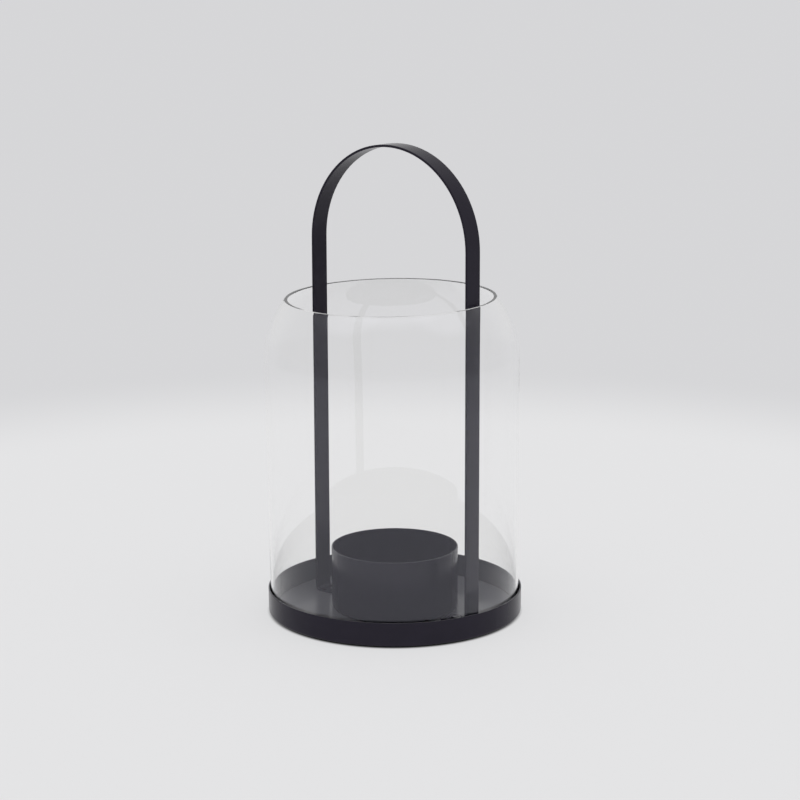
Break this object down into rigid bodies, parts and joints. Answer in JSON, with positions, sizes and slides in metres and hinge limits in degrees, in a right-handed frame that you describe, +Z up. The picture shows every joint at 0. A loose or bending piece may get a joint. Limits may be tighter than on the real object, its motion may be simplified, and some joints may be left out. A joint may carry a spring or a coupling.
{
  "type": "candle lantern",
  "caption": "Round pillar-candle lantern: low black tray with a candle cup, a tall flat-strip arched handle, and a clear shouldered glass chimney that lifts off over the handle.",
  "frame": {"origin": "centre of the underside, on the surface that the four felt pads stand on", "axes": "+Z up along the chimney's axis; the handle spans along X, with its strip's width along Y"},
  "size_m": [0.17, 0.17, 0.3129],
  "materials": {
    "powder_coat": "fine-textured satin black powder coat on steel sheet",
    "clear_glass": "clear blown glass, cut flat at both ends with polished edges",
    "rivet_steel": "black-finished steel rivet",
    "felt": "thin pressed black felt"
  },
  "bodies": {
    "lantern": {"base_tray": "powder_coat", "candle_cup": "powder_coat", "handle_strap": "powder_coat", "cup_rivet": "rivet_steel", "foot_rivet_left": "rivet_steel", "foot_rivet_right": "rivet_steel", "pad_1": "felt", "pad_2": "felt", "pad_3": "felt", "pad_4": "felt"},
    "chimney": {"glass_chimney": "clear_glass"}
  },
  "joints": [
    {"name": "chimney_lift", "type": "slide", "parent": "lantern", "child": "chimney", "axis": [0, 0, 1], "range_m": [0, 0.32]}
  ]
}
